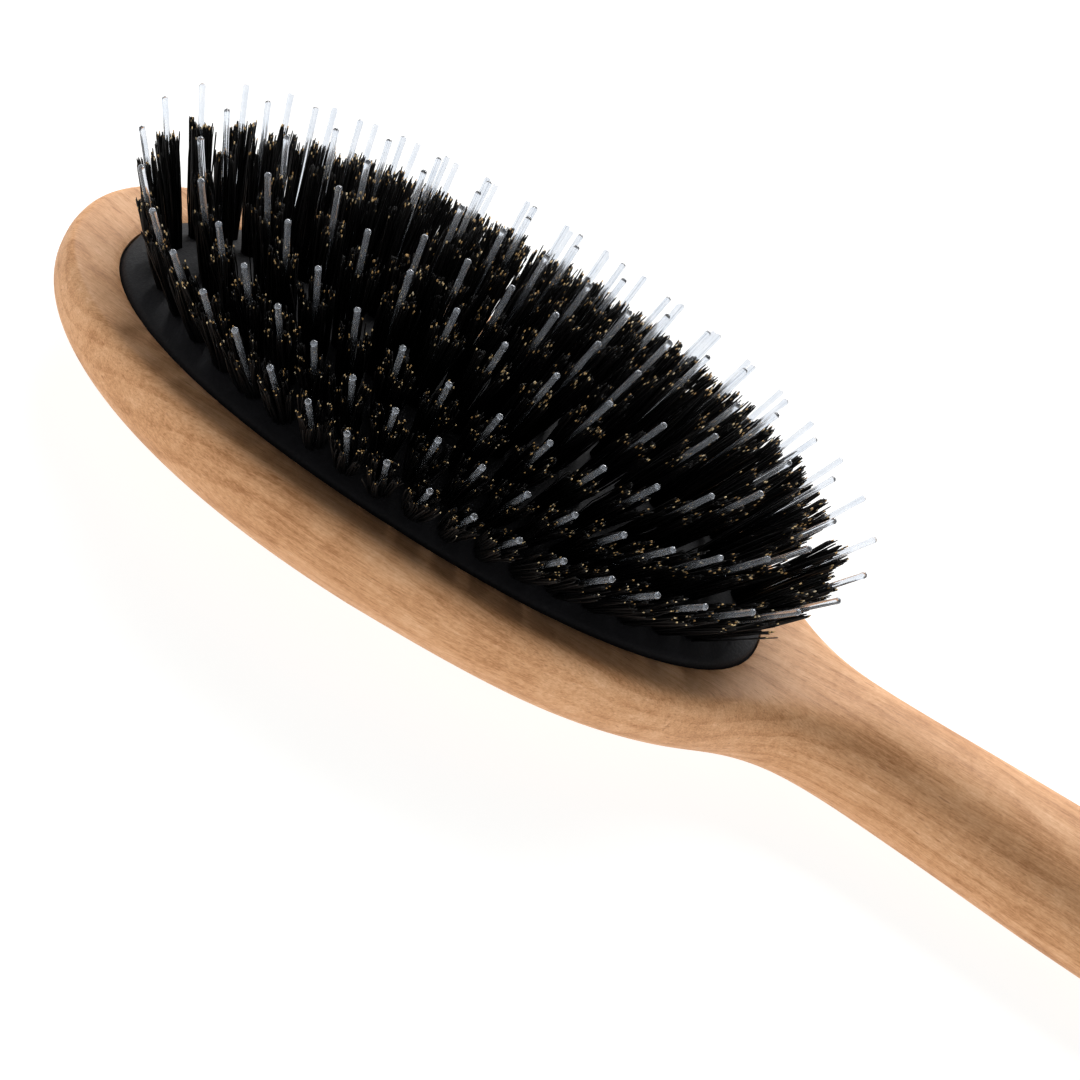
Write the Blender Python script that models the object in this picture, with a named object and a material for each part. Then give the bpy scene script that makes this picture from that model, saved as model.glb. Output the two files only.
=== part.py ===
"""Cushion ("porcupine") hairbrush: a one-piece wooden body with a routed head,
a domed rubber cushion clipped into an undercut groove over an air chamber, and
oval rings of bristle tufts, each with a nylon pin up its middle.

Frame: +X along the handle, +Y across, +Z out of the bristle face. The brush lies
on the flat land of its back at z = 0, and x = y = 0 is the middle of its length
and width. Lengths below are in millimetres and become metres through MM.
"""

import math

import bmesh
import bpy
import numpy as np
from mathutils import Matrix, Vector

MM = 0.001
GAP = 0.3  # running gap between neighbouring pieces

# --- whole brush ---------------------------------------------------------
HEAD_HALF_LENGTH = 57.0
HEAD_HALF_WIDTH = 33.5
HANDLE_END = 165.0  # from the middle of the cushion
HEAD_X = (HEAD_HALF_LENGTH - HANDLE_END) / 2  # middle of the cushion in the frame
RIM_Z = 16.5  # height of the cushion's edge over the flat back
OUTLINE_POWER = 2.15  # superellipse power of the head's plan outline

# --- cushion -------------------------------------------------------------
PAD_A, PAD_B = 49.0, 25.3  # half-length and half-width of its visible edge
PAD_POWER = 2.18
DOME = 6.9  # rise of the crown over the edge
DOME_POWER = 2.2
SHEET = 1.3  # thickness of the rubber
ARCH = 1.26  # drop of the edge at the two ends of the cushion
BEAD_OUT, BEAD_TOP, BEAD_LOW, BEAD_IN = 1.3, -1.8, -3.1, -1.2
VENT = (0.0, -11.3, 0.6)  # x, y and radius of the air vent

# --- recess in the wood --------------------------------------------------
LIP_GAP = 0.35
SLOPE_STRETCH = 2.2  # the inner slope runs out this much further towards the handle
SLOPE_LIFT = 0.9
GROOVE_OUT = BEAD_OUT + 0.35
CHAMBER_IN = -1.6
CHAMBER_FLOOR = -9.0

# --- tufts and pins ------------------------------------------------------
BRISTLE = 15.0  # length of a tuft over the rubber
PIN = 20.4  # length of a pin over the rubber
LEAN_X, LEAN_Y = 0.66, 1.23  # tangent of the lean at the cushion's edge, along X and Y
TUFT_ROOT_R, TUFT_TIP_R = 1.15, 2.3
PIN_R = 0.45
PIN_HOLE_R = 0.8
TUFT_KNOT = (-3.0, -2.15)  # the bar that links a tuft's root to the next
PIN_KNOT = (-4.1, -3.35)
HOLE_R = 1.75  # hole in the rubber
# half-length, half-width, tufts, fraction of a pitch that the first is moved on, groups
RINGS = (
    (44.5, 22.8, 42, 0.65, 7),
    (38.4, 18.9, 35, 0.00, 7),
    (31.0, 14.2, 25, 0.20, 5),
    (24.0, 8.3, 18, 0.40, 3),
)
ROW_Y, ROW_TUFTS, ROW_START, ROW_PITCH = 3.0, 6, -13.2, 5.1


# --- helpers -------------------------------------------------------------
def clear_scene():
    for obj in list(bpy.data.objects):
        bpy.data.objects.remove(obj, do_unlink=True)


def material(name, colour, roughness, **extra):
    mat = bpy.data.materials.new(name)
    mat.use_nodes = True
    bsdf = mat.node_tree.nodes["Principled BSDF"]
    bsdf.inputs["Base Color"].default_value = (*colour, 1.0)
    bsdf.inputs["Roughness"].default_value = roughness
    for socket, value in extra.items():
        bsdf.inputs[socket.replace("_", " ")].default_value = value
    mat.diffuse_color = (*colour, 1.0)
    return mat


def add_object(name, points, faces, mat=None, smooth=True):
    """A mesh object from points in millimetres about the middle of the cushion's edge plane."""
    mesh = bpy.data.meshes.new(name)
    mesh.from_pydata(
        [((x + HEAD_X) * MM, y * MM, (z + RIM_Z) * MM) for x, y, z in points], [], faces
    )
    bm = bmesh.new()
    bm.from_mesh(mesh)
    bmesh.ops.remove_doubles(bm, verts=bm.verts, dist=1e-7)
    bmesh.ops.recalc_face_normals(bm, faces=bm.faces)
    for face in bm.faces:
        face.smooth = smooth
    bm.to_mesh(mesh)
    bm.free()
    obj = bpy.data.objects.new(name, mesh)
    bpy.context.scene.collection.objects.link(obj)
    if mat:
        mesh.materials.append(mat)
    return obj


def cutter(name, points, faces):
    obj = add_object(name, points, faces)
    obj.hide_render = True
    obj.display_type = "WIRE"
    return obj


def subtract(obj, tool):
    mod = obj.modifiers.new("cut_" + tool.name, "BOOLEAN")
    mod.operation = "DIFFERENCE"
    mod.solver = "EXACT"
    mod.object = tool


def axis_empty(name, x=0.0, y=0.0, z=0.0):
    empty = bpy.data.objects.new(name, None)
    empty.empty_display_size = 0.01
    empty.location = ((x + HEAD_X) * MM, y * MM, (z + RIM_Z) * MM)
    bpy.context.scene.collection.objects.link(empty)
    return empty


def loft(rings, start=None, end=None):
    """Skin over rings of equal length, each end closed by a point or by one face."""
    points, faces, n = [p for ring in rings for p in ring], [], len(rings[0])
    for i in range(len(rings) - 1):
        for j in range(n):
            k = (j + 1) % n
            faces.append((i * n + j, i * n + k, (i + 1) * n + k, (i + 1) * n + j))
    for tip, base in ((start, 0), (end, (len(rings) - 1) * n)):
        if tip is None:
            faces.append(tuple(range(base, base + n)))
        else:
            points.append(tip)
            faces += [(base + j, base + (j + 1) % n, len(points) - 1) for j in range(n)]
    return points, faces


def spline(xs, ys):
    """Natural cubic through the stations, as a function."""
    xs, ys = np.array(xs, float), np.array(ys, float)
    n, h = len(xs), np.diff(xs)
    system, right = np.eye(n), np.zeros(n)
    for i in range(1, n - 1):
        system[i, i - 1 : i + 2] = h[i - 1], 2 * (h[i - 1] + h[i]), h[i]
        right[i] = 6 * ((ys[i + 1] - ys[i]) / h[i] - (ys[i] - ys[i - 1]) / h[i - 1])
    bend = np.linalg.solve(system, right)

    def at(x):
        i = int(np.clip(np.searchsorted(xs, x) - 1, 0, n - 2))
        a, b = (xs[i + 1] - x) / h[i], (x - xs[i]) / h[i]
        return float(
            a * ys[i] + b * ys[i + 1]
            + ((a**3 - a) * bend[i] + (b**3 - b) * bend[i + 1]) * h[i] ** 2 / 6
        )

    return at


def rounding(u, power):
    """Height of a superellipse of unit size at u."""
    return max(0.0, 1.0 - abs(u) ** power) ** (1.0 / power)


def superpoint(angle, a, b, power):
    c, s = math.cos(angle), math.sin(angle)
    e = 2.0 / power
    return (
        a * math.copysign(abs(c) ** e, c) if abs(c) > 1e-9 else 0.0,
        b * math.copysign(abs(s) ** e, s) if abs(s) > 1e-9 else 0.0,
    )


# --- wooden body ---------------------------------------------------------
# Loft stations from the shoulder to the handle: distance from the middle of the
# cushion, half-width, height of the widest line, rise over it, depth under it,
# and the superellipse powers of the upper and lower halves.
STATIONS = (
    (0, 33.5, -3.5, 7.5, 13.4, 3.0, 2.5),
    (20, 31.8, -3.5, 7.5, 13.3, 3.0, 2.5),
    (30, 29.3, -3.6, 7.5, 13.1, 2.9, 2.5),
    (38, 26.0, -3.8, 7.4, 12.8, 2.8, 2.4),
    (46, 20.7, -4.4, 7.2, 11.9, 2.6, 2.3),
    (52, 15.6, -5.2, 7.1, 10.7, 2.4, 2.2),
    (58, 11.6, -6.0, 7.1, 9.6, 2.3, 2.2),
    (65, 9.7, -6.6, 7.2, 8.9, 2.2, 2.2),
    (74, 9.4, -7.0, 7.4, 8.7, 2.2, 2.2),
    (86, 10.2, -7.2, 7.7, 8.8, 2.2, 2.2),
    (100, 11.5, -7.5, 8.0, 8.8, 2.2, 2.2),
    (115, 12.6, -7.6, 8.2, 8.7, 2.2, 2.2),
    (130, 13.1, -7.7, 8.3, 8.6, 2.2, 2.2),
    (145, 12.8, -7.8, 8.2, 8.5, 2.2, 2.2),
    (165, 12.0, -7.8, 8.0, 8.4, 2.2, 2.2),
)
HANDLE_ROUND = 143.0  # the handle's rounded end starts here
SECTION_POINTS = 32
OVAL_POINTS = 32


def wood_section(x):
    """Half-width, widest height, rise, depth and powers of the body at x."""
    if x <= 0:
        _, w, zc, up, down, nu, nl = STATIONS[0]
        u = x / HEAD_HALF_LENGTH
        return (
            w * rounding(u, OUTLINE_POWER),
            zc,
            up * rounding(u, nu),
            down * rounding(u, nl),
            nu,
            nl,
        )
    w, zc, up, down, nu, nl = (column(x) for column in COLUMNS)
    if x > HANDLE_ROUND:
        u = (x - HANDLE_ROUND) / (HANDLE_END - HANDLE_ROUND)
        w, up, down = w * rounding(u, 2.3), up * rounding(u, 2.6), down * rounding(u, 2.6)
    return w, zc, up, down, nu, nl


COLUMNS = [spline([s[0] for s in STATIONS], [s[i] for s in STATIONS]) for i in range(1, 7)]


def wood_ring(x):
    w, zc, up, down, nu, nl = wood_section(x)
    ring = []
    for j in range(SECTION_POINTS):
        angle = 2 * math.pi * (j + 0.5) / SECTION_POINTS
        top = math.sin(angle) > 0
        y, z = superpoint(angle, w, up if top else down, nu if top else nl)
        ring.append((x, y, zc + z))
    return ring


def make_wood_body():
    left = [-HEAD_HALF_LENGTH * math.cos(a) for a in np.linspace(0.10, math.pi / 2, 15)]
    middle = list(np.arange(5.0, 143.0, 6.0))
    right = [
        HANDLE_ROUND + (HANDLE_END - HANDLE_ROUND) * math.sin(a)
        for a in np.linspace(0.0, 1.44, 8)
    ]
    xs = left + middle + right
    z_left, z_right = STATIONS[0][2], STATIONS[-1][2]
    body = add_object(
        "wood_body",
        *loft(
            [wood_ring(float(x)) for x in xs],
            (-HEAD_HALF_LENGTH, 0.0, z_left),
            (HANDLE_END, 0.0, z_right),
        ),
        material("beech_satin", (0.58, 0.38, 0.22), 0.42),
    )
    # The back is planed to a flat land that the brush lies on.
    x0, x1, y1, z0, z1 = -70.0, 180.0, 60.0, -40.0, -RIM_Z
    corners = [(x, y, z) for z in (z0, z1) for x, y in ((x0, -y1), (x1, -y1), (x1, y1), (x0, y1))]
    subtract(
        body,
        cutter(
            "back_plane",
            corners,
            [(0, 1, 2, 3), (4, 5, 6, 7), (0, 1, 5, 4), (1, 2, 6, 5), (2, 3, 7, 6), (3, 0, 4, 7)],
        ),
    )
    # Recess: shallow inner slope under the rounded rim, lip, undercut groove for the
    # bead, and air chamber, each an oval at an offset from the cushion's edge.
    slope = ((11.5, 9.0), (8.6, 2.6), (7.2, 1.2), (5.6, 0.68), (3.6, 0.3), (1.4, -0.05))
    steps = (
        (LIP_GAP, -0.5),
        (LIP_GAP, BEAD_TOP + 0.35),
        (GROOVE_OUT, BEAD_TOP + 0.35),
        (GROOVE_OUT, BEAD_LOW - 0.35),
        (CHAMBER_IN, BEAD_LOW - 0.35),
        (CHAMBER_IN - 0.6, CHAMBER_FLOOR + 1.5),
        (CHAMBER_IN - 2.1, CHAMBER_FLOOR),
    )
    rings = [slope_ring(d, z, OVAL_POINTS) for d, z in slope]
    rings += [oval(d, z, OVAL_POINTS) for d, z in steps]
    subtract(body, cutter("recess", *loft(rings)))
    return body


# --- cushion -------------------------------------------------------------
def arch(x):
    return -ARCH * (x / PAD_A) ** 2


def oval(offset, z, count, scale=1.0):
    """Oval at an offset from the cushion's edge, dropped at its ends by the arch."""
    ring = []
    for j in range(count):
        x, y = superpoint(
            2 * math.pi * j / count, PAD_A * scale + offset, PAD_B * scale + offset, PAD_POWER
        )
        ring.append((x, y, z + arch(x)))
    return ring


def slope_ring(offset, z, count):
    """Oval of the inner slope, drawn out and lifted on the handle's side so that it fades there."""
    ring = []
    for j in range(count):
        angle = 2 * math.pi * j / count
        reach = LIP_GAP + (offset - LIP_GAP) * (SLOPE_STRETCH if math.cos(angle) > 0 else 1.0)
        x, y = superpoint(angle, PAD_A + reach, PAD_B + offset, PAD_POWER)
        lift = SLOPE_LIFT * offset / 7.0 * min(max(x / PAD_A, 0.0), 1.0) ** 4
        ring.append((x, y, z + lift + arch(min(x, 52.0))))
    return ring


def dome(f):
    return DOME * (1.0 - f**DOME_POWER)


def surface(x, y):
    """Point on the outside of the rubber over x, y."""
    f = (abs(x / PAD_A) ** PAD_POWER + abs(y / PAD_B) ** PAD_POWER) ** (1 / PAD_POWER)
    return Vector((x, y, dome(f) + arch(x)))


def lean(x, y):
    """Direction that a tuft or pin rooted at x, y points in."""
    return Vector((LEAN_X * x / PAD_A, LEAN_Y * y / PAD_B, 1.0)).normalized()


def make_cushion(tufts):
    count = OVAL_POINTS
    outer = [0.22, 0.45, 0.66, 0.84, 1.0]
    inner = [0.93, 0.76, 0.5, 0.25]
    rings = [oval(0.0, dome(f), count, f) for f in outer]
    rings += [
        oval(0.0, BEAD_TOP + 0.3, count),
        oval(BEAD_OUT, BEAD_TOP, count),
        oval(BEAD_OUT, BEAD_LOW, count),
        oval(BEAD_IN, BEAD_LOW, count),
        oval(BEAD_IN - 0.4, -1.5, count),
    ]
    rings += [oval(0.0, dome(f) - SHEET, count, f) for f in inner]
    cushion = add_object(
        "rubber_cushion",
        *loft(rings, (0.0, 0.0, DOME), (0.0, 0.0, DOME - SHEET)),
        material("charcoal_rubber", (0.018, 0.019, 0.022), 0.75),
    )
    points, faces = [], []
    for origin, axis, along in tufts:
        side = axis.cross(along).normalized()
        p, f = prism(origin, axis, side, HOLE_R, -3.4, 2.2, 6)
        faces += [tuple(i + len(points) for i in face) for face in f]
        points += p
    x, y, r = VENT
    p, f = prism(surface(x, y), Vector((0, 0, 1)), Vector((1, 0, 0)), r, -3.0, 3.0, 8)
    faces += [tuple(i + len(points) for i in face) for face in f]
    points += p
    subtract(cushion, cutter("tuft_holes", points, faces))
    return cushion


# --- tufts and pins ------------------------------------------------------
def polygon(origin, axis, side, radius, at, sides, turn=0.5):
    across = axis.cross(side).normalized()
    return [
        origin
        + axis * at
        + side * radius * math.cos(2 * math.pi * (k + turn) / sides)
        + across * radius * math.sin(2 * math.pi * (k + turn) / sides)
        for k in range(sides)
    ]


def prism(origin, axis, side, radius, low, high, sides):
    return loft([polygon(origin, axis, side, radius, t, sides) for t in (low, high)])


def zip_rings(a, b, angle_a, angle_b):
    """Triangles between two rings of vertices given in order of angle."""
    faces, i, j, na, nb = [], 0, 0, len(a), len(b)
    while i < na or j < nb:
        next_a = angle_a[(i + 1) % na] + 2 * math.pi * ((i + 1) // na)
        next_b = angle_b[(j + 1) % nb] + 2 * math.pi * ((j + 1) // nb)
        if j >= nb or (i < na and next_a <= next_b):
            faces.append((a[i % na], a[(i + 1) % na], b[j % nb]))
            i += 1
        else:
            faces.append((a[i % na], b[(j + 1) % nb], b[j % nb]))
            j += 1
    return faces


def linked(stalks, radii, knot, top, sides, hole=None):
    """Stalks joined root to root by short bars: one closed body.

    Each stalk is a prism whose lowest length is its knot. One flat of the knot
    faces the stalk before it and the opposite flat the one after it.
    """
    points, faces = [], []
    levels = (knot[0], knot[1], top)
    flats = []
    for number, (origin, axis, along) in enumerate(stalks):
        side = (along - axis * along.dot(axis)).normalized()
        base = len(points)
        for level in levels:
            grow = (level - levels[1]) / (top - levels[1]) if level > levels[1] else 0.0
            points += polygon(
                origin, axis, side, radii[0] + (radii[1] - radii[0]) * grow, level, sides
            )
        ahead, behind = sides - 1, sides // 2 - 1  # the flats across +side and -side
        for low in (0, 1):
            for k in range(sides):
                if low == 0 and (
                    (k == ahead and number < len(stalks) - 1) or (k == behind and number > 0)
                ):
                    continue
                a, b = base + low * sides + k, base + low * sides + (k + 1) % sides
                faces.append((a, b, b + sides, a + sides))
        flats.append(
            [
                [base + k, base + (k + 1) % sides, base + sides + (k + 1) % sides, base + sides + k]
                for k in (ahead, behind)
            ]
        )
        bottom = [base + k for k in range(sides)]
        crown = [base + 2 * sides + k for k in range(sides)]
        if hole is None:
            faces += [tuple(bottom), tuple(crown)]
            continue
        inner = len(points)
        for level in (levels[0], top):
            points += polygon(origin, axis, side, hole, level, 4, 0.0)
        outer_angles = [2 * math.pi * (k + 0.5) / sides for k in range(sides)]
        inner_angles = [2 * math.pi * k / 4 for k in range(4)]
        low_hole, high_hole = list(range(inner, inner + 4)), list(range(inner + 4, inner + 8))
        faces += zip_rings(bottom, low_hole, outer_angles, inner_angles)
        faces += zip_rings(crown, high_hole, outer_angles, inner_angles)
        for k in range(4):
            a, b = inner + k, inner + (k + 1) % 4
            faces.append((a, b, b + 4, a + 4))
    for (ahead, _), (_, behind) in zip(flats[:-1], flats[1:]):
        # the flat ahead runs round one way and the flat behind the other
        partner = [behind[1], behind[0], behind[3], behind[2]]
        for k in range(4):
            m = (k + 1) % 4
            faces.append((ahead[k], ahead[m], partner[m], partner[k]))
    return points, faces


def ring_stalks(a, b, count, phase):
    """Root, direction and along-the-ring tangent of each tuft of an oval ring, at equal spacing."""
    t = np.linspace(0.0, 2 * math.pi, 1441)
    steps = np.hypot(np.diff(a * np.cos(t)), np.diff(b * np.sin(t)))
    run = np.concatenate([[0.0], np.cumsum(steps)])
    stalks = []
    for i in range(count):
        angle = float(np.interp(((i + phase) / count % 1.0) * run[-1], run, t))
        x, y = a * math.cos(angle), b * math.sin(angle)
        along = Vector((-a * math.sin(angle), b * math.cos(angle), 0.0)).normalized()
        stalks.append((surface(x, y), lean(x, y), along))
    return stalks


def make_tufts():
    groups, everyone = [], []
    for number, (a, b, count, phase, parts) in enumerate(RINGS, 1):
        stalks = ring_stalks(a, b, count, phase)
        everyone += stalks
        size = count // parts
        for part in range(parts):
            groups.append((number, part + 1, stalks[part * size : (part + 1) * size]))
    for part, y in enumerate((-ROW_Y, ROW_Y), 1):
        stalks = [
            (surface(x, y), lean(x, y), Vector((1.0, 0.0, 0.0)))
            for x in (ROW_START + (ROW_PITCH * i if y < 0 else ROW_PITCH * i + 1.4) for i in range(ROW_TUFTS))
        ]
        everyone += stalks
        groups.append((5, part, stalks))
    parents = {
        n: axis_empty(f"ring_{n}_press_axis", 0.0, 0.0, dome(0.0)) for n in range(1, 6)
    }
    for number, part, stalks in groups:
        bristle = add_object(
            f"bristle_tufts_ring{number}_{part}",
            *linked(stalks, (TUFT_ROOT_R, TUFT_TIP_R), TUFT_KNOT, BRISTLE, 6, PIN_HOLE_R),
            material(f"boar_bristle_{number}_{part}", (0.03, 0.024, 0.02), 0.5),
            smooth=False,
        )
        pins = add_object(
            f"nylon_pins_ring{number}_{part}",
            *linked(stalks, (PIN_R, PIN_R), PIN_KNOT, PIN, 4),
            material(f"clear_nylon_{number}_{part}", (0.75, 0.77, 0.8), 0.25),
            smooth=False,
        )
        for obj in (bristle, pins):
            obj.parent = parents[number]
            obj.matrix_parent_inverse = Matrix.Translation(-parents[number].location)
    return everyone


clear_scene()
bpy.context.scene.unit_settings.system = "METRIC"
bpy.context.scene.unit_settings.scale_length = 1.0
stalks = make_tufts()
make_cushion(stalks)
make_wood_body()
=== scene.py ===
"""Looks of the cushion hairbrush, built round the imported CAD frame.

Lengths below are in millimetres about the middle of the cushion's edge plane, as
in the CAD, and become metres in the shared frame through place().
"""

import math

import bmesh
import bpy
import numpy as np
from mathutils import Matrix, Vector


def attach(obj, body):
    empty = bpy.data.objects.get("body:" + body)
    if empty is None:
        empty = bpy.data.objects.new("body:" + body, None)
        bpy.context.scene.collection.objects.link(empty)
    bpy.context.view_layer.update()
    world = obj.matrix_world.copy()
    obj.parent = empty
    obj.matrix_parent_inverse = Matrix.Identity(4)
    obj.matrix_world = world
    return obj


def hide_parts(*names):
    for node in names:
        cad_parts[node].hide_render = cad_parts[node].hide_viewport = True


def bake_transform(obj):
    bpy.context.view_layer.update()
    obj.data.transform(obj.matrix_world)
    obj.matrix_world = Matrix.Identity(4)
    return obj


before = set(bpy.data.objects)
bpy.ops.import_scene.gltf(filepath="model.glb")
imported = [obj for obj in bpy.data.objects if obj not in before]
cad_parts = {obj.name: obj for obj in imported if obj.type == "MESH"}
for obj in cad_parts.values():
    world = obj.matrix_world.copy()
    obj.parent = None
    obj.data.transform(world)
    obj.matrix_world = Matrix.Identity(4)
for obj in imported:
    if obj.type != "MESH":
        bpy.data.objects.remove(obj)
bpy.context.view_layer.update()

MM = 0.001
SEED = 4127

# --- the CAD's sizes -----------------------------------------------------
HEAD_HALF_LENGTH = 57.0
HANDLE_END = 165.0
HEAD_X = (HEAD_HALF_LENGTH - HANDLE_END) / 2
RIM_Z = 16.5
OUTLINE_POWER = 2.15
PAD_A, PAD_B, PAD_POWER = 49.0, 25.3, 2.18
DOME, DOME_POWER, SHEET, ARCH = 6.9, 2.2, 1.3, 1.26
BEAD_OUT, BEAD_TOP, BEAD_LOW, BEAD_IN = 1.3, -1.8, -3.1, -1.2
VENT = (0.0, -11.3, 0.6)
LIP_GAP = 0.35
SLOPE_STRETCH, SLOPE_LIFT = 2.2, 0.9
CHAMBER_FLOOR = -9.0
BRISTLE, PIN = 15.0, 20.4
LEAN_X, LEAN_Y = 0.66, 1.23
PIN_R = 0.43
RINGS = (
    (44.5, 22.8, 42, 0.65, 7),
    (38.4, 18.9, 35, 0.00, 7),
    (31.0, 14.2, 25, 0.20, 5),
    (24.0, 8.3, 18, 0.40, 3),
)
ROW_Y, ROW_TUFTS, ROW_START, ROW_PITCH = 3.0, 6, -13.2, 5.1
STATIONS = (
    (0, 33.5, -3.5, 7.5, 13.4, 3.0, 2.5),
    (20, 31.8, -3.5, 7.5, 13.3, 3.0, 2.5),
    (30, 29.3, -3.6, 7.5, 13.1, 2.9, 2.5),
    (38, 26.0, -3.8, 7.4, 12.8, 2.8, 2.4),
    (46, 20.7, -4.4, 7.2, 11.9, 2.6, 2.3),
    (52, 15.6, -5.2, 7.1, 10.7, 2.4, 2.2),
    (58, 11.6, -6.0, 7.1, 9.6, 2.3, 2.2),
    (65, 9.7, -6.6, 7.2, 8.9, 2.2, 2.2),
    (74, 9.4, -7.0, 7.4, 8.7, 2.2, 2.2),
    (86, 10.2, -7.2, 7.7, 8.8, 2.2, 2.2),
    (100, 11.5, -7.5, 8.0, 8.8, 2.2, 2.2),
    (115, 12.6, -7.6, 8.2, 8.7, 2.2, 2.2),
    (130, 13.1, -7.7, 8.3, 8.6, 2.2, 2.2),
    (145, 12.8, -7.8, 8.2, 8.5, 2.2, 2.2),
    (165, 12.0, -7.8, 8.0, 8.4, 2.2, 2.2),
)
HANDLE_ROUND = 143.0


# --- mesh helpers --------------------------------------------------------
def place(points):
    return (np.asarray(points, float) + np.array([HEAD_X, 0.0, RIM_Z])) * MM


def mesh_object(name, points, faces, smooth=True, tidy=False):
    mesh = bpy.data.meshes.new(name)
    mesh.from_pydata([tuple(p) for p in place(points)], [], faces)
    if tidy:
        bm = bmesh.new()
        bm.from_mesh(mesh)
        bmesh.ops.remove_doubles(bm, verts=bm.verts, dist=1e-7)
        bmesh.ops.recalc_face_normals(bm, faces=bm.faces)
        bm.to_mesh(mesh)
        bm.free()
    mesh.polygons.foreach_set("use_smooth", np.full(len(mesh.polygons), smooth))
    mesh.update()
    obj = bpy.data.objects.new(name, mesh)
    bpy.context.scene.collection.objects.link(obj)
    return obj


def loft(rings, start=None, end=None):
    """Skin over rings of equal length, each end closed by a point or by one face."""
    points, faces, n = [p for ring in rings for p in ring], [], len(rings[0])
    for i in range(len(rings) - 1):
        for j in range(n):
            k = (j + 1) % n
            faces.append((i * n + j, i * n + k, (i + 1) * n + k, (i + 1) * n + j))
    for tip, base in ((start, 0), (end, (len(rings) - 1) * n)):
        if tip is None:
            faces.append(tuple(range(base, base + n)))
        else:
            points.append(tip)
            faces += [(base + j, base + (j + 1) % n, len(points) - 1) for j in range(n)]
    return points, faces


def spline(xs, ys):
    """Natural cubic through the stations, as a function."""
    xs, ys = np.array(xs, float), np.array(ys, float)
    n, h = len(xs), np.diff(xs)
    system, right = np.eye(n), np.zeros(n)
    for i in range(1, n - 1):
        system[i, i - 1 : i + 2] = h[i - 1], 2 * (h[i - 1] + h[i]), h[i]
        right[i] = 6 * ((ys[i + 1] - ys[i]) / h[i] - (ys[i] - ys[i - 1]) / h[i - 1])
    bend = np.linalg.solve(system, right)

    def at(x):
        i = int(np.clip(np.searchsorted(xs, x) - 1, 0, n - 2))
        a, b = (xs[i + 1] - x) / h[i], (x - xs[i]) / h[i]
        return float(
            a * ys[i] + b * ys[i + 1]
            + ((a**3 - a) * bend[i] + (b**3 - b) * bend[i + 1]) * h[i] ** 2 / 6
        )

    return at


def rounding(u, power):
    return max(0.0, 1.0 - abs(u) ** power) ** (1.0 / power)


def soft_min(a, b, k):
    return 0.5 * (a + b - np.sqrt((a - b) ** 2 + k * k))


def soft_max(a, b, k):
    return 0.5 * (a + b + np.sqrt((a - b) ** 2 + k * k))


def arch(x):
    return -ARCH * (x / PAD_A) ** 2


def dome(f):
    return DOME * (1.0 - f**DOME_POWER)


def oval(offset, z, count, scale=1.0):
    ring = []
    for j in range(count):
        t = 2 * math.pi * j / count
        c, s, e = math.cos(t), math.sin(t), 2.0 / PAD_POWER
        x = (PAD_A * scale + offset) * math.copysign(abs(c) ** e, c)
        y = (PAD_B * scale + offset) * math.copysign(abs(s) ** e, s)
        ring.append((x, y, z + arch(x)))
    return ring


def surface(x, y):
    f = (abs(x / PAD_A) ** PAD_POWER + abs(y / PAD_B) ** PAD_POWER) ** (1 / PAD_POWER)
    return Vector((x, y, dome(f) + arch(x)))


def lean(x, y):
    return Vector((LEAN_X * x / PAD_A, LEAN_Y * y / PAD_B, 1.0)).normalized()


def edge_offset(x, y):
    """How far outside the cushion's edge x, y is, by the oval that passes through it, drawn out towards the handle."""
    low, high = np.full(len(x), -24.5), np.full(len(x), 200.0)
    for _ in range(46):
        d = (low + high) / 2
        reach = np.where((x > 0) & (d > LIP_GAP), LIP_GAP + (d - LIP_GAP) * SLOPE_STRETCH, d)
        out = (np.abs(x) / (PAD_A + reach)) ** PAD_POWER + (
            np.abs(y) / (PAD_B + d)
        ) ** PAD_POWER > 1
        low, high = np.where(out, d, low), np.where(out, high, d)
    return (low + high) / 2


# --- wooden body ---------------------------------------------------------
COLUMNS = [spline([s[0] for s in STATIONS], [s[i] for s in STATIONS]) for i in range(1, 7)]
HALF_POINTS = 92

# inner slope from the rim down to the cushion's edge, with its corners eased
_d = np.linspace(-30.0, 60.0, 3601)
_z = np.interp(
    _d,
    [-30.0, -0.6, 0.35, 1.4, 3.6, 5.6, 7.2, 8.6, 11.5, 60.0],
    [-1.1, -1.1, -0.5, -0.05, 0.3, 0.68, 1.2, 2.6, 9.0, 120.0],
)
_kernel = np.exp(-0.5 * (np.arange(-60, 61) * 0.025 / 0.4) ** 2)
SLOPE = (_d[60:-60], np.convolve(_z, _kernel / _kernel.sum(), "valid"))


def wood_section(x):
    if x <= 0:
        _, w, zc, up, down, nu, nl = STATIONS[0]
        u = x / HEAD_HALF_LENGTH
        return (
            w * rounding(u, OUTLINE_POWER), zc, up * rounding(u, nu), down * rounding(u, nl), nu, nl,
        )
    w, zc, up, down, nu, nl = (column(x) for column in COLUMNS)
    if x > HANDLE_ROUND:
        u = (x - HANDLE_ROUND) / (HANDLE_END - HANDLE_ROUND)
        w, up, down = w * rounding(u, 2.3), up * rounding(u, 2.6), down * rounding(u, 2.6)
    return w, zc, up, down, nu, nl


def wood_ring(x):
    """One section, with its points at even steps along the upper and the lower half."""
    w, zc, up, down, nu, nl = wood_section(x)
    t = np.linspace(0.0, math.pi, 1201)
    c, s = np.cos(t), np.abs(np.sin(t))
    halves = []
    for rise, power, turn in ((up, nu, 1.0), (-down, nl, -1.0)):
        y = turn * w * np.sign(c) * np.abs(c) ** (2 / power)
        z = zc + rise * s ** (2 / power)
        run = np.concatenate([[0.0], np.cumsum(np.hypot(np.diff(y), np.diff(z)))])
        at = np.linspace(0.0, run[-1], HALF_POINTS + 1)[:-1]
        halves.append(np.stack([np.full(HALF_POINTS, x), np.interp(at, run, y), np.interp(at, run, z)], 1))
    return halves


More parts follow.
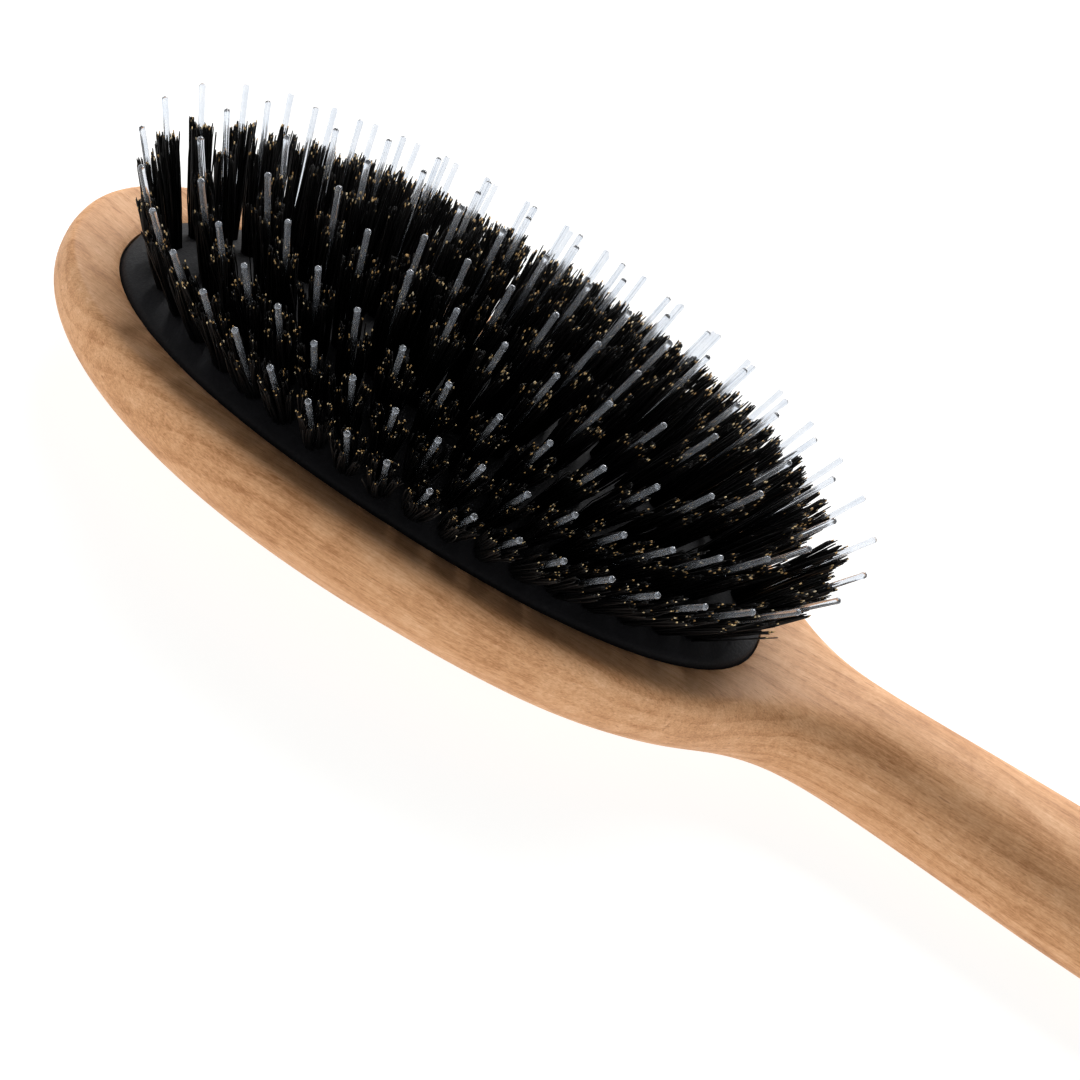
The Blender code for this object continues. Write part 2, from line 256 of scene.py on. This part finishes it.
def make_wood_body():
    left = [-HEAD_HALF_LENGTH * math.cos(a) for a in np.linspace(0.022, math.pi / 2, 96)]
    middle = list(np.arange(0.9, HANDLE_ROUND - 0.2, 0.95))
    right = [
        HANDLE_ROUND + (HANDLE_END - HANDLE_ROUND) * math.sin(a)
        for a in np.linspace(0.0, 1.545, 40)
    ]
    upper, lower = zip(*(wood_ring(float(x)) for x in left + middle + right))
    upper, lower = np.array(upper), np.array(lower)
    flat = upper.reshape(-1, 3)
    offset = edge_offset(flat[:, 0], flat[:, 1])
    lift = SLOPE_LIFT * np.clip(offset, 0.0, 9.0) / 7.0 * np.clip(flat[:, 0] / PAD_A, 0.0, 1.0) ** 4
    slope = np.interp(offset, *SLOPE) + lift + arch(np.minimum(flat[:, 0], 52.0))
    near = np.clip((16.0 - offset) / 6.0, 0.0, 1.0)  # no easing far from the recess
    eased = soft_min(flat[:, 2], slope, 0.9 + 1.6 * np.clip((flat[:, 0] - 30.0) / 24.0, 0.0, 1.0))
    flat[:, 2] += (eased - flat[:, 2]) * near
    # the back is planed to a flat land, with its border eased
    land = lower[:, :, 2]
    wide = np.clip((land.min(axis=1, keepdims=True) + 15.2) / -1.3, 0.0, 1.0)
    lower[:, :, 2] = land + (soft_max(land, -RIM_Z, 0.5 * wide) - land)
    rings = np.concatenate([upper, lower], axis=1)
    points, faces = loft(
        [list(map(tuple, ring)) for ring in rings],
        (-HEAD_HALF_LENGTH, 0.0, STATIONS[0][2]),
        (HANDLE_END, 0.0, STATIONS[-1][2]),
    )
    body = mesh_object("beech_handle_and_head", points, faces, tidy=True)
    steps = (
        (LIP_GAP, 16.0),
        (LIP_GAP, BEAD_TOP + 0.35),
        (BEAD_OUT + 0.35, BEAD_TOP + 0.35),
        (BEAD_OUT + 0.35, BEAD_LOW - 0.35),
        (-1.6, BEAD_LOW - 0.35),
        (-2.2, CHAMBER_FLOOR + 1.5),
        (-3.7, CHAMBER_FLOOR),
    )
    tool = mesh_object("recess", *loft([oval(d, z, 240) for d, z in steps]), tidy=True)
    cut = body.modifiers.new("recess", "BOOLEAN")
    cut.operation, cut.solver, cut.object = "DIFFERENCE", "EXACT", tool
    graph = bpy.context.evaluated_depsgraph_get()
    mesh = bpy.data.meshes.new_from_object(body.evaluated_get(graph))
    body.modifiers.clear()
    body.data = mesh
    bpy.data.objects.remove(tool, do_unlink=True)
    bm = bmesh.new()
    bm.from_mesh(mesh)
    for face in bm.faces:
        face.smooth = True
    for edge in bm.edges:
        edge.smooth = edge.calc_face_angle(0.0) < math.radians(38)
    bm.to_mesh(mesh)
    bm.free()
    return body


# --- cushion -------------------------------------------------------------
def make_cushion(stalks):
    count = 216
    outer = list(np.linspace(0.02, 0.975, 62))
    rings = [oval(0.0, dome(f), count, f) for f in outer]
    rings += [oval(-0.36, 0.17, count), oval(-0.12, -0.10, count), oval(0.0, -0.5, count)]
    body_rings = len(rings)
    rings += [
        oval(0.0, BEAD_TOP + 0.3, count),
        oval(0.15, BEAD_TOP + 0.05, count),
        oval(BEAD_OUT - 0.2, BEAD_TOP, count),
        oval(BEAD_OUT, BEAD_TOP - 0.2, count),
        oval(BEAD_OUT, BEAD_LOW + 0.2, count),
        oval(BEAD_OUT - 0.2, BEAD_LOW, count),
        oval(BEAD_IN, BEAD_LOW, count),
        oval(BEAD_IN - 0.4, -1.5, count),
    ]
    rings += [oval(0.0, dome(f) - SHEET, count, f) for f in (0.93, 0.84, 0.72, 0.58, 0.42, 0.25, 0.1)]
    points, faces = loft(rings, (0.0, 0.0, DOME), (0.0, 0.0, DOME - SHEET))
    points = np.array(points)
    # the rubber is drawn in a little where each tuft leaves it
    top = slice(0, body_rings * count)
    for origin, _, _ in stalks:
        away = np.hypot(points[top, 0] - origin.x, points[top, 1] - origin.y)
        points[top, 2] -= 0.14 * np.exp(-((away / 1.45) ** 2))
    x, y, r = VENT
    away = np.hypot(points[top, 0] - x, points[top, 1] - y)
    points[top, 2] -= 0.5 * np.exp(-((away / 0.55) ** 2))
    # raised ring round the vent
    centre, ring = surface(x, y), []
    for j in range(40):
        t = 2 * math.pi * j / 40
        loop = []
        for k in range(12):
            p = 2 * math.pi * k / 12
            rr = r + 0.42 + 0.3 * math.cos(p)
            px, py = x + rr * math.cos(t), y + rr * math.sin(t)
            loop.append((px, py, surface(px, py).z + 0.05 + 0.26 * math.sin(p)))
        ring.append(loop)
    base = len(points)
    points = np.concatenate([points, np.array([p for loop in ring for p in loop])])
    for j in range(40):
        for k in range(12):
            a, b = j * 12 + k, j * 12 + (k + 1) % 12
            c, d = (j + 1) % 40 * 12 + (k + 1) % 12, (j + 1) % 40 * 12 + k
            faces.append((base + a, base + b, base + c, base + d))
    cushion = mesh_object("domed_rubber_cushion", points, faces, tidy=True)
    return cushion


# --- tufts and pins ------------------------------------------------------
def ring_stalks(a, b, count, phase):
    t = np.linspace(0.0, 2 * math.pi, 1441)
    steps = np.hypot(np.diff(a * np.cos(t)), np.diff(b * np.sin(t)))
    run = np.concatenate([[0.0], np.cumsum(steps)])
    stalks = []
    for i in range(count):
        angle = float(np.interp(((i + phase) / count % 1.0) * run[-1], run, t))
        x, y = a * math.cos(angle), b * math.sin(angle)
        along = Vector((-a * math.sin(angle), b * math.cos(angle), 0.0)).normalized()
        stalks.append((surface(x, y), lean(x, y), along))
    return stalks


def all_stalks():
    found = {n: ring_stalks(*row[:4]) for n, row in enumerate(RINGS, 1)}
    found[5] = [
        (surface(x, y), lean(x, y), Vector((1.0, 0.0, 0.0)))
        for y in (-ROW_Y, ROW_Y)
        for x in (
            ROW_START + (ROW_PITCH * i if y < 0 else ROW_PITCH * i + 1.4) for i in range(ROW_TUFTS)
        )
    ]
    return found


def axes_of(stalk):
    origin, axis, along = stalk
    side = (along - axis * along.dot(axis)).normalized()
    return (np.array(v) for v in (origin, axis, side, axis.cross(side).normalized()))


HAIRS = 108
VARIANTS = 48
LEVELS = np.array([0.0, 0.42, 0.76, 0.972, 1.0])
LEVEL_V = np.array([0.03, 0.28, 0.48, 0.62, 0.95])
HAIR_R = 0.112


def make_bristles(number, stalks, rng):
    """Every hair of a ring's tufts: a thin three-sided strand, bunched into ragged points."""
    centres, radii, turns, frames, variants = [], [], [], [], []
    n = HAIRS
    for stalk in stalks:
        origin, axis, side, across = axes_of(stalk)
        k = np.arange(n) + 0.5
        rr = np.sqrt(0.24 + 0.76 * k / n)
        ph = k * 2.39996 + rng.uniform(0, 2 * math.pi)
        root = (1.12 if origin[0] < -30.0 else 1.45) * rr[:, None] * np.stack([np.cos(ph), np.sin(ph)], 1)
        # the tufts stand apart round the head's tip and spread into each other elsewhere
        tightest, widest = (0.82, 1.02) if origin[0] < -30.0 else (1.12, 1.42)
        splay = rng.uniform(tightest, widest)
        ph = ph + rng.normal(0, 0.16, n)
        tip = 2.2 * splay * (rr**1.25 + rng.normal(0, 0.07, n))[:, None] * np.stack(
            [np.cos(ph), np.sin(ph)], 1
        )
        bunches = 8
        bp = np.arange(bunches) * 2.39996 + rng.uniform(0, 2 * math.pi)
        bunch = (2.05 * splay * np.sqrt((np.arange(bunches) + 0.9) / bunches))[:, None] * np.stack(
            [np.cos(bp), np.sin(bp)], 1
        )
        near = np.argmin(np.linalg.norm(tip[:, None] - bunch[None], axis=2), axis=1)
        pull = rng.uniform(0.2, 0.92, n)[:, None]
        tip += (bunch[near] - tip) * pull
        tip += rng.normal(0, 0.22, (1, 2))
        size = np.linalg.norm(tip, axis=1, keepdims=True)
        tip *= np.maximum(size, 0.62) / np.maximum(size, 1e-6)
        height = rng.normal(0, 0.5, bunches)[near]
        length = BRISTLE + 0.25 + height * 1.1 - np.abs(rng.normal(0, 0.95, n))
        stray = rng.random(n) < 0.08
        length = np.where(stray, length + rng.uniform(0.1, 0.9, n), length)
        tip = np.where(stray[:, None], tip * rng.uniform(1.05, 1.45, n)[:, None], tip)
        length = np.clip(length, 11.2, BRISTLE + 0.9)
        bow = rng.normal(0, 0.16, (n, 2)) + rng.normal(0, 0.16, (bunches, 2))[near]
        # on the far side towards the handle the two outer rings are combed across each other
        tip[:, 1] *= 0.76
        comb = 0.0
        if number < 3 and origin[0] > 0.0 and origin[1] > 5.0:
            comb = 1.0 if number == 1 else -1.0
        root[:, 0] += 0.7 * comb
        tip[:, 0] = tip[:, 0] * (1.0 + 0.15 * abs(comb)) + 1.9 * comb
        s = LEVELS[None, :, None]
        flat = root[:, None] + (tip - root)[:, None] * s**1.1 + bow[:, None] * np.sin(math.pi * s) * 1.0
        up = -1.7 + (length + 1.7)[:, None] * LEVELS[None]
        centre = (
            origin + axis * up[..., None] + side * flat[..., :1] + across * flat[..., 1:]
        )
        centres.append(centre)
        radii.append(
            HAIR_R * rng.uniform(0.78, 1.22, n)[:, None] * np.array([1.0, 1.0, 1.0, 1.0, 0.72])
        )
        turns.append(rng.uniform(0, 2 * math.pi, n))
        frames.append(np.broadcast_to(np.stack([side, across]), (n, 2, 3)))
        variants.append(rng.integers(0, VARIANTS, n))
    centres, radii = np.concatenate(centres), np.concatenate(radii)
    turns, frames = np.concatenate(turns), np.concatenate(frames)
    variants = np.concatenate(variants)
    count, levels = len(centres), len(LEVELS)
    angle = turns[:, None] + np.arange(3) * 2 * math.pi / 3
    spoke = (
        np.cos(angle)[..., None] * frames[:, None, 0] + np.sin(angle)[..., None] * frames[:, None, 1]
    )
    points = centres[:, :, None] + radii[:, :, None, None] * spoke[:, None]
    faces, uvs = [], []
    for level in range(levels - 1):
        for k in range(3):
            m = (k + 1) % 3
            faces.append((level * 3 + k, level * 3 + m, level * 3 + 3 + m, level * 3 + 3 + k))
            v0, v1 = LEVEL_V[level], LEVEL_V[level + 1]
            uvs.append(((k, v0), (k + 1, v0), (k + 1, v1), (k, v1)))
    quads = np.array(faces)
    ends = np.array([(2, 1, 0), (levels * 3 - 3, levels * 3 - 2, levels * 3 - 1)])
    end_uvs = (((0.2, 0.005), (1.0, 0.02), (1.8, 0.005)), ((0.2, 0.965), (1.0, 0.985), (1.8, 0.965)))
    base = np.arange(count) * levels * 3
    quad_faces = (base[:, None, None] + quads).reshape(-1, 4)
    tri_faces = (base[:, None, None] + ends).reshape(-1, 3)
    quad_uv = np.array(uvs)  # face, corner, (k, v)
    tri_uv = np.array(end_uvs)

    def atlas(template):
        uv = np.broadcast_to(template, (count,) + template.shape).copy()
        uv[..., 0] = (variants[:, None, None] + 0.14 + 0.24 * uv[..., 0]) / VARIANTS
        return uv.reshape(-1, 2)

    points = points.reshape(-1, 3)
    # root plug of each tuft, under the rubber
    plug_faces, plug_points = [], []
    start = len(points)
    for stalk in stalks:
        origin, axis, side, across = axes_of(stalk)
        first = start + len(plug_points)
        for up, r in ((-2.7, 0.62), (-2.5, 0.95), (-1.7, 1.1), (-0.9, 1.0), (-0.8, 0.8)):
            for j in range(8):
                t = 2 * math.pi * j / 8
                plug_points.append(origin + axis * up + r * (side * math.cos(t) + across * math.sin(t)))
        for level in range(4):
            for j in range(8):
                m = (j + 1) % 8
                plug_faces.append(tuple(first + i for i in (level * 8 + j, level * 8 + m, level * 8 + 8 + m, level * 8 + 8 + j)))
        plug_faces.append(tuple(first + j for j in range(7, -1, -1)))
        plug_faces.append(tuple(first + 32 + j for j in range(8)))
    points = np.concatenate([points, np.array(plug_points)])
    faces = [tuple(f) for f in quad_faces.tolist()] + [tuple(f) for f in tri_faces.tolist()] + plug_faces
    obj = mesh_object(f"boar_bristle_tufts_ring_{number}", points, faces)
    plug_uv = np.concatenate(
        [
            np.array([((i % 4) * 0.002 + 0.001, 0.02 + 0.002 * (i % 3)) for i in range(len(f))])
            for f in plug_faces
        ]
    )
    uv = np.concatenate([atlas(quad_uv), atlas(tri_uv), plug_uv])
    layer = obj.data.uv_layers.new(name="OFBake")
    layer.data.foreach_set("uv", uv.astype(np.float32).ravel())
    return obj


def make_pins(number, stalks, rng):
    sides = 14
    profile = (
        (-2.4, 0.80), (-1.2, 1.0), (4.0, 1.0), (10.0, 0.985), (15.5, 0.97), (19.0, 0.96),
        (19.55, 0.99), (19.8, 1.04), (20.02, 1.03), (20.2, 0.90), (20.31, 0.68), (20.38, 0.36),
    )
    points, faces = [], []
    for stalk in stalks:
        origin, axis, side, across = axes_of(stalk)
        bow = rng.normal(0, 0.10, 2)
        rings = []
        for t, grow in profile:
            s = max(t, 0.0) / PIN
            centre = origin + axis * t + (side * bow[0] + across * bow[1]) * s * s
            rings.append(
                [
                    tuple(
                        centre
                        + PIN_R * grow * (side * math.cos(2 * math.pi * k / sides) + across * math.sin(2 * math.pi * k / sides))
                    )
                    for k in range(sides)
                ]
            )
        p, f = loft(rings, None, tuple(origin + axis * PIN + side * bow[0] + across * bow[1]))
        faces += [tuple(i + len(points) for i in face) for face in f]
        points += p
    return mesh_object(f"clear_nylon_pins_ring_{number}", points, faces, tidy=True)


# --- materials -----------------------------------------------------------
class Nodes:
    """A material's node tree, built by short calls."""

    def __init__(self, name, **principled):
        self.mat = bpy.data.materials.new(name)
        self.mat.use_nodes = True
        self.tree = self.mat.node_tree
        self.bsdf = self.tree.nodes["Principled BSDF"]
        for key, value in principled.items():
            self.bsdf.inputs[key.replace("_", " ")].default_value = value

    def add(self, kind, inputs=None, **settings):
        node = self.tree.nodes.new(kind)
        for key, value in settings.items():
            setattr(node, key, value)
        for key, value in (inputs or {}).items():
            self.put(node.inputs[key], value)
        return node

    def put(self, socket, value):
        if isinstance(value, bpy.types.NodeSocket):
            self.tree.links.new(value, socket)
        else:
            socket.default_value = value

    def math(self, operation, a, b=0.0, c=0.0, clamp=False):
        node = self.add("ShaderNodeMath", {0: a, 1: b, 2: c}, operation=operation, use_clamp=clamp)
        return node.outputs[0]

    def coords(self, scale, rotation=(0, 0, 0), location=(0, 0, 0)):
        """Object coordinates in millimetres, stretched by scale."""
        if not hasattr(self, "_object"):
            self._object = self.add("ShaderNodeTexCoord").outputs["Object"]
        node = self.add(
            "ShaderNodeMapping",
            {
                "Vector": self._object,
                "Scale": tuple(1000.0 * s for s in scale),
                "Rotation": rotation,
                "Location": location,
            },
        )
        return node.outputs["Vector"]

    def noise(self, scale, detail=2.0, roughness=0.5, distortion=0.0, rotation=(0, 0, 0), location=(0, 0, 0)):
        node = self.add(
            "ShaderNodeTexNoise",
            {
                "Vector": self.coords(scale, rotation, location),
                "Scale": 1.0,
                "Detail": detail,
                "Roughness": roughness,
                "Distortion": distortion,
            },
        )
        return node.outputs["Fac"]

    def span(self, value, low, high, to_low=0.0, to_high=1.0, smooth=True):
        node = self.add(
            "ShaderNodeMapRange",
            {"Value": value, "From Min": low, "From Max": high, "To Min": to_low, "To Max": to_high},
            interpolation_type="SMOOTHSTEP" if smooth else "LINEAR",
        )
        return node.outputs[0]

    def ramp(self, value, stops):
        node = self.add("ShaderNodeValToRGB", {"Fac": value})
        ramp = node.color_ramp
        while len(ramp.elements) > 1:
            ramp.elements.remove(ramp.elements[-1])
        for i, (at, colour) in enumerate(stops):
            element = ramp.elements[0] if i == 0 else ramp.elements.new(at)
            element.position = at
            element.color = (*srgb(colour), 1.0)
        return node.outputs["Color"]

    def mix(self, factor, a, b, blend="MIX"):
        node = self.add("ShaderNodeMix", data_type="RGBA", blend_type=blend)
        self.put(node.inputs[0], factor)
        self.put(node.inputs[6], a)
        self.put(node.inputs[7], b)
        return node.outputs[2]

    def bump(self, height, distance, strength=1.0):
        node = self.add("ShaderNodeBump", {"Height": height, "Distance": distance, "Strength": strength})
        self.tree.links.new(node.outputs["Normal"], self.bsdf.inputs["Normal"])
        return node


def srgb(colour):
    """Linear values of an 8-bit colour."""
    return tuple(
        c / 255 / 12.92 if c / 255 <= 0.04045 else ((c / 255 + 0.055) / 1.055) ** 2.4 for c in colour
    )


def wood_material():
    n = Nodes("satin_beech", Roughness=0.55)
    n.bsdf.inputs["Specular IOR Level"].default_value = 0.13
    # growth rings round a pith line beside the blank, a little out of true with the handle
    wander = n.noise((0.018, 0.05, 0.05), 2.0)
    wander2 = n.noise((0.07, 0.16, 0.16), 2.0, location=(7, 3, 1))
    p = n.add("ShaderNodeSeparateXYZ", {0: n.coords((1, 1, 1), (0.03, 0.055, 0.045), (10.0, 21.0, -38.0))})
    y2 = n.math("MULTIPLY", p.outputs[1], p.outputs[1])
    z2 = n.math("MULTIPLY", p.outputs[2], p.outputs[2])
    radius = n.math("SQRT", n.math("ADD", y2, z2))
    radius = n.math("MULTIPLY_ADD", wander, 9.0, radius)
    radius = n.math("MULTIPLY_ADD", wander2, 2.2, radius)
    phase = n.math("FRACT", n.math("MULTIPLY", radius, 0.41))
    late = n.math("SUBTRACT", n.span(phase, 0.42, 0.92), n.span(phase, 0.92, 1.0))
    # fibre streaks at three widths
    broad = n.noise((0.03, 0.35, 0.35), 3.0, 0.55, 0.3)
    fibre = n.noise((0.075, 1.7, 1.7), 4.0, 0.6, 0.2, location=(2, 5, 8))
    fine = n.noise((0.28, 6.5, 6.5), 2.0, 0.6, location=(1, 9, 4))
    mottle = n.noise((0.055, 0.09, 0.09), 2.0, 0.5, 0.6, location=(5, 1, 2))
    curl = n.noise((0.42, 0.13, 0.13), 2.0, 0.5, 0.8, rotation=(0.2, 0.35, 0.5), location=(4, 4, 4))
    speck = n.noise((1.5, 4.6, 4.6), 2.0, 0.65, location=(6, 2, 9))
    tone = n.math("MULTIPLY_ADD", late, -0.12, 0.56)
    tone = n.math("ADD", tone, n.span(speck, 0.25, 0.75, -0.13, 0.13, False))
    tone = n.math("ADD", tone, n.span(broad, 0.2, 0.8, -0.13, 0.13, False))
    tone = n.math("ADD", tone, n.span(fibre, 0.2, 0.8, -0.15, 0.15, False))
    tone = n.math("ADD", tone, n.span(fine, 0.2, 0.8, -0.17, 0.17, False))
    tone = n.math("ADD", tone, n.span(mottle, 0.25, 0.75, -0.09, 0.09, False))
    tone = n.math("ADD", tone, n.span(curl, 0.25, 0.75, -0.07, 0.07, False))
    colour = n.ramp(
        tone,
        [
            (0.0, (150, 98, 60)),
            (0.28, (184, 131, 88)),
            (0.52, (213, 160, 115)),
            (0.74, (230, 181, 138)),
            (1.0, (244, 205, 168)),
        ],
    )
    # short dark pores and ray flecks that lie along the grain
    pore = n.noise((0.55, 5.0, 5.0), 1.0, 0.5, location=(3, 2, 6))
    pores = n.span(pore, 0.665, 0.74)
    ray = n.noise((0.32, 1.6, 1.6), 1.0, 0.4, location=(8, 8, 3))
    rays = n.span(ray, 0.70, 0.78)
    colour = n.mix(n.math("MULTIPLY", pores, 0.22), colour, (*srgb((140, 86, 50)), 1.0))
    colour = n.mix(n.math("MULTIPLY", rays, 0.5), colour, (*srgb((158, 100, 60)), 1.0))
    n.put(n.bsdf.inputs["Base Color"], colour)
    n.put(
        n.bsdf.inputs["Roughness"],
        n.math("ADD", n.span(fibre, 0.2, 0.8, 0.46, 0.60, False), n.math("MULTIPLY", pores, 0.12)),
    )
    height = n.math("ADD", n.math("MULTIPLY", fine, 0.5), n.math("MULTIPLY", fibre, 0.5))
    height = n.math("SUBTRACT", height, n.math("MULTIPLY", pores, 0.9))
    n.bump(height, 0.00006, 0.55)
    return n.mat


def rubber_material():
    n = Nodes("charcoal_rubber_grained", Roughness=0.72)
    n.bsdf.inputs["Specular IOR Level"].default_value = 0.3
    grain = n.noise((2.6, 2.6, 2.6), 3.0, 0.65)
    weave = n.noise((4.5, 1.1, 4.5), 2.0, 0.5, rotation=(0, 0, 0.35))
    dust = n.noise((0.12, 0.12, 0.12), 3.0, 0.6, location=(3, 3, 3))
    tone = n.math("ADD", n.span(grain, 0.3, 0.7, 0.0, 0.55, False), n.span(dust, 0.3, 0.7, 0.0, 0.45, False))
    colour = n.ramp(tone, [(0.0, (13, 13, 16)), (0.5, (21, 21, 25)), (1.0, (32, 32, 37))])
    n.put(n.bsdf.inputs["Base Color"], colour)
    n.put(n.bsdf.inputs["Roughness"], n.span(grain, 0.3, 0.7, 0.62, 0.84, False))
    height = n.math("ADD", n.math("MULTIPLY", grain, 0.7), n.math("MULTIPLY", weave, 0.5))
    n.bump(height, 0.00012, 0.8)
    return n.mat


def bristle_material():
    """Black hair, and on some strands an amber cut end. It reads the strand's own strip of the UV map."""
    n = Nodes("boar_bristle_hair", Roughness=0.5)
    n.bsdf.inputs["Specular IOR Level"].default_value = 0.22
    uv = n.add("ShaderNodeSeparateXYZ", {0: n.add("ShaderNodeUVMap", uv_map="OFBake").outputs[0]})
    column = n.math("FLOOR", n.math("MULTIPLY", uv.outputs[0], float(VARIANTS)))
    chance = n.add("ShaderNodeTexWhiteNoise", {"W": column}, noise_dimensions="1D").outputs["Value"]
    shade = n.add(
        "ShaderNodeTexWhiteNoise", {"W": n.math("ADD", column, 71.3)}, noise_dimensions="1D"
    ).outputs["Value"]
    golden = n.span(chance, 0.66, 0.70)
    tip = n.math("MULTIPLY", n.span(uv.outputs[1], 0.66, 0.80), golden)
    brown = n.math("MULTIPLY", n.span(uv.outputs[1], 0.42, 0.66), n.math("MULTIPLY", shade, 0.3))
    shaft = n.ramp(shade, [(0.0, (5, 5, 6)), (0.6, (8, 8, 9)), (1.0, (15, 14, 15))])
    shaft = n.mix(brown, shaft, (*srgb((32, 26, 20)), 1.0))
    gold = n.ramp(
        shade, [(0.0, (168, 128, 76)), (0.4, (214, 176, 116)), (0.75, (238, 210, 158)), (1.0, (250, 236, 206))]
    )
    n.put(n.bsdf.inputs["Base Color"], n.mix(tip, shaft, gold))
    n.put(n.bsdf.inputs["Roughness"], n.span(shade, 0.0, 1.0, 0.42, 0.6, False))
    return n.mat


def nylon_material():
    """Clear nylon with a faint milkiness that varies along the pin."""
    n = Nodes("clear_nylon", Roughness=0.1, IOR=1.46)
    n.bsdf.inputs["Transmission Weight"].default_value = 0.89
    cloud = n.noise((0.5, 0.5, 0.5), 2.0, 0.5)
    n.put(
        n.bsdf.inputs["Base Color"],
        n.ramp(cloud, [(0.25, (226, 233, 243)), (0.75, (244, 247, 252))]),
    )
    n.put(n.bsdf.inputs["Roughness"], n.span(cloud, 0.25, 0.75, 0.02, 0.06, False))
    return n.mat


# --- assembly ------------------------------------------------------------
stalks = all_stalks()

wood = make_wood_body()
wood.data.materials.clear()
wood.data.materials.append(wood_material())
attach(wood, "brush_body")
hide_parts("wood_body")

cushion = make_cushion([s for ring in stalks.values() for s in ring])
cushion.data.materials.append(rubber_material())
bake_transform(cushion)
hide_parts("rubber_cushion")

hair, nylon = bristle_material(), nylon_material()
for number, ring in stalks.items():
    rng = np.random.default_rng(SEED + number)
    parts = RINGS[number - 1][4] if number < 5 else 2
    for piece, kind, mat, node in (
        (make_bristles(number, ring, rng), "bristle", hair, "bristle_tufts"),
        (make_pins(number, ring, rng), "nylon", nylon, "nylon_pins"),
    ):
        piece.data.materials.append(mat)
        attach(piece, f"tuft_ring_{number}")
        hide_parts(*[f"{node}_ring{number}_{part + 1}" for part in range(parts)])


# --- studio --------------------------------------------------------------
def make_floor():
    # a flat sweep that turns up at its far edges
    size, n, start, rise = 3.2, 32, 2.2, 0.8
    points = []
    for j in range(n + 1):
        for i in range(n + 1):
            x, y = -size + 2 * size * i / n, -size + 2 * size * j / n
            u = max(0.0, (max(abs(x), abs(y)) - start) / (size - start))
            points.append((x, y, rise * u * u))
    faces = [
        (j * (n + 1) + i, j * (n + 1) + i + 1, (j + 1) * (n + 1) + i + 1, (j + 1) * (n + 1) + i)
        for j in range(n)
        for i in range(n)
    ]
    mesh = bpy.data.meshes.new("studio_floor")
    mesh.from_pydata(points, [], faces)
    floor = bpy.data.objects.new("studio_floor", mesh)
    bpy.context.scene.collection.objects.link(floor)
    n = Nodes("pale_floor", Roughness=0.8)
    n.bsdf.inputs["Base Color"].default_value = (0.22, 0.22, 0.219, 1.0)
    n.bsdf.inputs["Emission Color"].default_value = (1.0, 1.0, 0.99, 1.0)
    n.bsdf.inputs["Emission Strength"].default_value = 0.91
    floor.data.materials.append(n.mat)


def area_light(name, at, aim, size, power, colour=(1.0, 1.0, 1.0)):
    data = bpy.data.lights.new(name, "AREA")
    data.shape, data.size, data.size_y = "RECTANGLE", size[0], size[1]
    data.energy, data.color = power, colour
    light = bpy.data.objects.new(name, data)
    light.location = at
    light.rotation_euler = (Vector(aim) - Vector(at)).to_track_quat("-Z", "Y").to_euler()
    bpy.context.scene.collection.objects.link(light)


def make_camera():
    data = bpy.data.cameras.new("photo_camera")
    data.sensor_fit, data.sensor_width, data.lens = "HORIZONTAL", 36.0, 36.0 * 3279.8 / 1080.0
    data.clip_start, data.clip_end = 0.01, 20.0
    camera = bpy.data.objects.new("photo_camera", data)
    right = Vector((0.8433, 0.2485, 0.4765)).normalized()
    back = Vector((-0.0543, -0.8428, 0.5355)).normalized()
    up = back.cross(right).normalized()
    right = up.cross(back).normalized()
    matrix = Matrix((right, up, back)).transposed().to_4x4()
    matrix.translation = (-0.060288, -0.368900, 0.244166)
    camera.matrix_world = matrix
    bpy.context.scene.collection.objects.link(camera)
    bpy.context.scene.camera = camera


make_floor()
world = bpy.data.worlds.new("studio")
world.use_nodes = True
world.node_tree.nodes["Background"].inputs["Color"].default_value = (1.0, 1.0, 1.0, 1.0)
world.node_tree.nodes["Background"].inputs["Strength"].default_value = 0.17
bpy.context.scene.world = world
target = (-0.03, 0.0, 0.02)
area_light("key_softbox", (-0.10, 0.68, 0.60), target, (0.9, 0.5), 12.6)
area_light("left_softbox", (-0.80, 0.10, 0.32), target, (0.5, 0.5), 0.9)
area_light("front_sweep", (0.10, -0.95, 0.04), target, (1.2, 0.25), 1.1, (1.0, 0.985, 0.965))
bpy.context.scene.view_settings.view_transform = "Standard"
bpy.context.scene.view_settings.look = "None"
make_camera()
